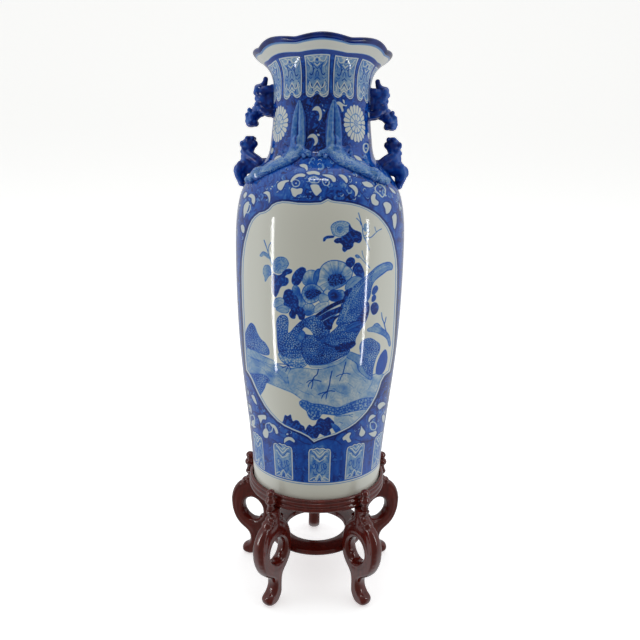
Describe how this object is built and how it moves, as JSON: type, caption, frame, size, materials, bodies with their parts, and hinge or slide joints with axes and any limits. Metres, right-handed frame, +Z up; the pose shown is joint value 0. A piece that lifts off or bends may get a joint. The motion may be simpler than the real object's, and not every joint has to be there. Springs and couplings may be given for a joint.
{
  "type": "lidless porcelain vase on a wooden stand",
  "caption": "Tall baluster vase with a lobed flared lip, lion handles and relief dragons, standing in the ring of a carved scroll-leg stand.",
  "frame": {"origin": "on the floor under the vase's axis, which is the centre of the stand's ring", "axes": "+Z up along the vase's axis; the front of the vase and stand faces -Y"},
  "size_m": [0.2694, 0.2581, 0.7585],
  "materials": {
    "porcelain_painted": "clear glaze over cobalt painting",
    "porcelain_cobalt": "clear glaze over deep cobalt",
    "porcelain_wash": "clear glaze over pale cobalt wash",
    "rosewood": "polished dark red-brown rosewood",
    "rosewood_plain": "oiled, unpolished",
    "dowel_wood": "bare"
  },
  "bodies": {
    "stand": {"stand_ring": "rosewood", "seat_board": "rosewood_plain", "stretcher_ring": "rosewood", "leg_front_left": "rosewood", "leg_front_right": "rosewood", "leg_side_left": "rosewood", "leg_side_right": "rosewood", "leg_back": "rosewood", "knob_front_left": "rosewood", "knob_front_right": "rosewood", "knob_side_left": "rosewood", "knob_side_right": "rosewood", "knob_back": "rosewood", "leg_dowels": "dowel_wood"},
    "vase": {"vase_body": "porcelain_painted", "lion_upper_left": "porcelain_cobalt", "lion_upper_right": "porcelain_cobalt", "lion_lower_left": "porcelain_cobalt", "lion_lower_right": "porcelain_cobalt", "dragon_front_left": "porcelain_wash", "dragon_front_right": "porcelain_wash", "dragon_back_left": "porcelain_wash", "dragon_back_right": "porcelain_wash"}
  },
  "joints": [
    {"name": "vase_lift", "type": "slide", "parent": "stand", "child": "vase", "axis": [0, 0, 1], "range_m": [0, 0.1]}
  ]
}
